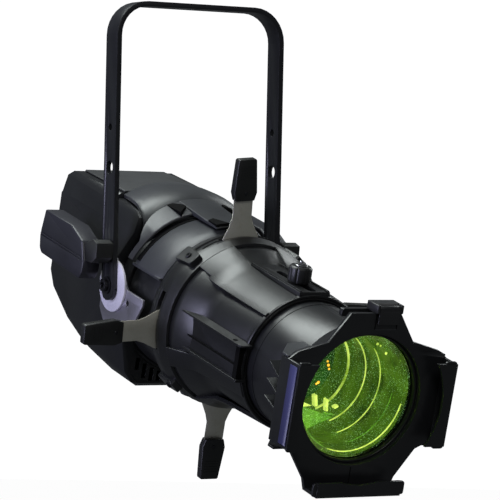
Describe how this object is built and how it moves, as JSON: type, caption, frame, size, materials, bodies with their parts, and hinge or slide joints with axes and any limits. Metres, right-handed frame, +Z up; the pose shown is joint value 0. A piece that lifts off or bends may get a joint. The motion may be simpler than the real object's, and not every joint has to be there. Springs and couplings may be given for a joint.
{
  "type": "ellipsoidal spotlight",
  "caption": "Theatre profile spotlight on a hanging yoke, with a tilting head, rotating shutter barrel, sliding focus tube, shutter blades and colour-frame holder.",
  "frame": {"origin": "centre of the clamp hole in the top face of the yoke's top bar", "axes": "+Z up out of the clamp hole, X across the yoke arms, the beam points to -Y and 15 degrees down"},
  "size_m": [0.3624, 0.5832, 0.5195],
  "materials": {
    "yoke": "fine satin black powder coat",
    "painted_castings": "satin black powder coat",
    "textured_cover": "coarse textured grey-black powder coat",
    "shroud": "smooth satin dark grey",
    "side_brackets": "satin plated steel",
    "discs": "bright turned steel",
    "bolts": "dark plated steel",
    "handles": "fine-grained dark plastic",
    "handle_noses": "black rubber",
    "panel": "matt black",
    "display": "dark display window",
    "buttons": "matt dark grey",
    "sockets": "black connector shell",
    "heat_sink": "bare extruded aluminium",
    "boards": "green circuit board",
    "light_pipe": "mirror-finished inside",
    "fan": "matt black",
    "supply": "folded sheet case",
    "grille": "black",
    "barrel": "satin black powder coat",
    "shutter_steel": "heat-tinted stainless steel",
    "grips": "black moulded plastic",
    "tube": "satin black",
    "lenses": "clear glass with a green cast",
    "lens_rings": "matt black",
    "knobs": "black moulded plastic",
    "holder": "satin black die-casting",
    "labels": "blank violet-blue strip",
    "retainer": "satin black"
  },
  "bodies": {
    "yoke": {"yoke": "yoke"},
    "head": {"rear_housing": "painted_castings", "top_cover": "textured_cover", "front_shroud": "shroud", "front_grille": "grille", "rear_panel": "panel", "display_window": "display", "power_inlet": "sockets", "power_outlet": "sockets", "data_inlet": "sockets", "data_outlet": "sockets", "heat_sink": "heat_sink", "led_board": "boards", "light_pipe": "light_pipe", "fan_frame": "fan", "power_supply": "supply", "control_board": "boards", "side_bracket_left": "side_brackets", "side_bracket_right": "side_brackets", "friction_disc_left": "discs", "friction_disc_right": "discs", "pivot_bolt_left": "bolts", "pivot_bolt_right": "bolts", "side_handle_left": "handles", "side_handle_right": "handles", "handle_nose_left": "handle_noses", "handle_nose_right": "handle_noses", "bearing_ring": "barrel"},
    "fan": {"fan_rotor": "fan"},
    "button_1": {"menu_button_1": "buttons"},
    "button_2": {"menu_button_2": "buttons"},
    "button_3": {"menu_button_3": "buttons"},
    "button_4": {"menu_button_4": "buttons"},
    "barrel": {"shutter_housing_upper": "shroud", "shutter_housing_lower": "barrel", "shutter_ring": "barrel", "gate_plate": "shutter_steel", "lens_housing": "barrel"},
    "lock_knob": {"rotation_lock_knob": "knobs"},
    "shutter_top": {"shutter_blade_top": "shutter_steel", "shutter_grip_top": "grips"},
    "shutter_left": {"shutter_blade_left": "shutter_steel", "shutter_grip_left": "grips"},
    "shutter_bottom": {"shutter_blade_bottom": "shutter_steel", "shutter_grip_bottom": "grips"},
    "shutter_right": {"shutter_blade_right": "shutter_steel", "shutter_grip_right": "grips"},
    "tube": {"lens_tube": "tube", "front_lens": "lenses", "rear_lens": "lenses", "front_lens_ring": "lens_rings", "rear_lens_ring": "lens_rings", "accessory_holder": "holder", "label_strip_left": "labels", "label_strip_right": "labels", "retainer_block": "retainer"},
    "focus": {"focus_knob": "knobs"},
    "retainer": {"frame_retainer": "retainer"}
  },
  "joints": [
    {"name": "head_tilt", "type": "hinge", "parent": "yoke", "child": "head", "pos_m": [0, 0, -0.3097], "axis": [1, 0, 0], "range_deg": [-60, 47]},
    {"name": "fan_spin", "type": "hinge", "parent": "head", "child": "fan", "pos_m": [0, 0.14252, -0.28135], "axis": [0, -0.9659, -0.2588], "continuous": true},
    {"name": "button_1_press", "type": "slide", "parent": "head", "child": "button_1", "axis": [0, -0.9659, -0.2588], "range_m": [0, 0.0015], "stiffness_N_per_m": 400, "springref_m": -0.0008},
    {"name": "button_2_press", "type": "slide", "parent": "head", "child": "button_2", "axis": [0, -0.9659, -0.2588], "range_m": [0, 0.0015], "stiffness_N_per_m": 400, "springref_m": -0.0008},
    {"name": "button_3_press", "type": "slide", "parent": "head", "child": "button_3", "axis": [0, -0.9659, -0.2588], "range_m": [0, 0.0015], "stiffness_N_per_m": 400, "springref_m": -0.0008},
    {"name": "button_4_press", "type": "slide", "parent": "head", "child": "button_4", "axis": [0, -0.9659, -0.2588], "range_m": [0, 0.0015], "stiffness_N_per_m": 400, "springref_m": -0.0008},
    {"name": "barrel_rotation", "type": "hinge", "parent": "head", "child": "barrel", "pos_m": [0, 0.00246, -0.31888], "axis": [0, -0.9659, -0.2588], "range_deg": [-25, 25]},
    {"name": "lock_knob_turn", "type": "hinge", "parent": "barrel", "child": "lock_knob", "pos_m": [-0.01871, -0.03271, -0.41944], "axis": [-0.2079, 0.2532, -0.9448], "range_deg": [-180, 180]},
    {"name": "shutter_top_slide", "type": "slide", "parent": "barrel", "child": "shutter_top", "axis": [-0.0872, -0.2578, 0.9623], "range_m": [-0.036, 0.006]},
    {"name": "shutter_left_slide", "type": "slide", "parent": "barrel", "child": "shutter_left", "axis": [-0.9981, 0.0158, -0.059], "range_m": [-0.036, 0.006]},
    {"name": "shutter_bottom_slide", "type": "slide", "parent": "barrel", "child": "shutter_bottom", "axis": [0, 0.2588, -0.9659], "range_m": [-0.036, 0.006]},
    {"name": "shutter_right_slide", "type": "slide", "parent": "barrel", "child": "shutter_right", "axis": [0.9986, -0.0135, 0.0506], "range_m": [-0.036, 0.006]},
    {"name": "tube_focus", "type": "slide", "parent": "barrel", "child": "tube", "axis": [0, -0.9659, -0.2588], "range_m": [-0.035, 0.025]},
    {"name": "focus_knob_turn", "type": "hinge", "parent": "tube", "child": "focus", "pos_m": [0, -0.22505, -0.29857], "axis": [0, -0.2588, 0.9659], "range_deg": [-180, 180]},
    {"name": "retainer_swing", "type": "hinge", "parent": "tube", "child": "retainer", "pos_m": [0.0135, -0.37713, -0.32099], "axis": [1, 0, 0], "range_deg": [-100, 0]}
  ]
}
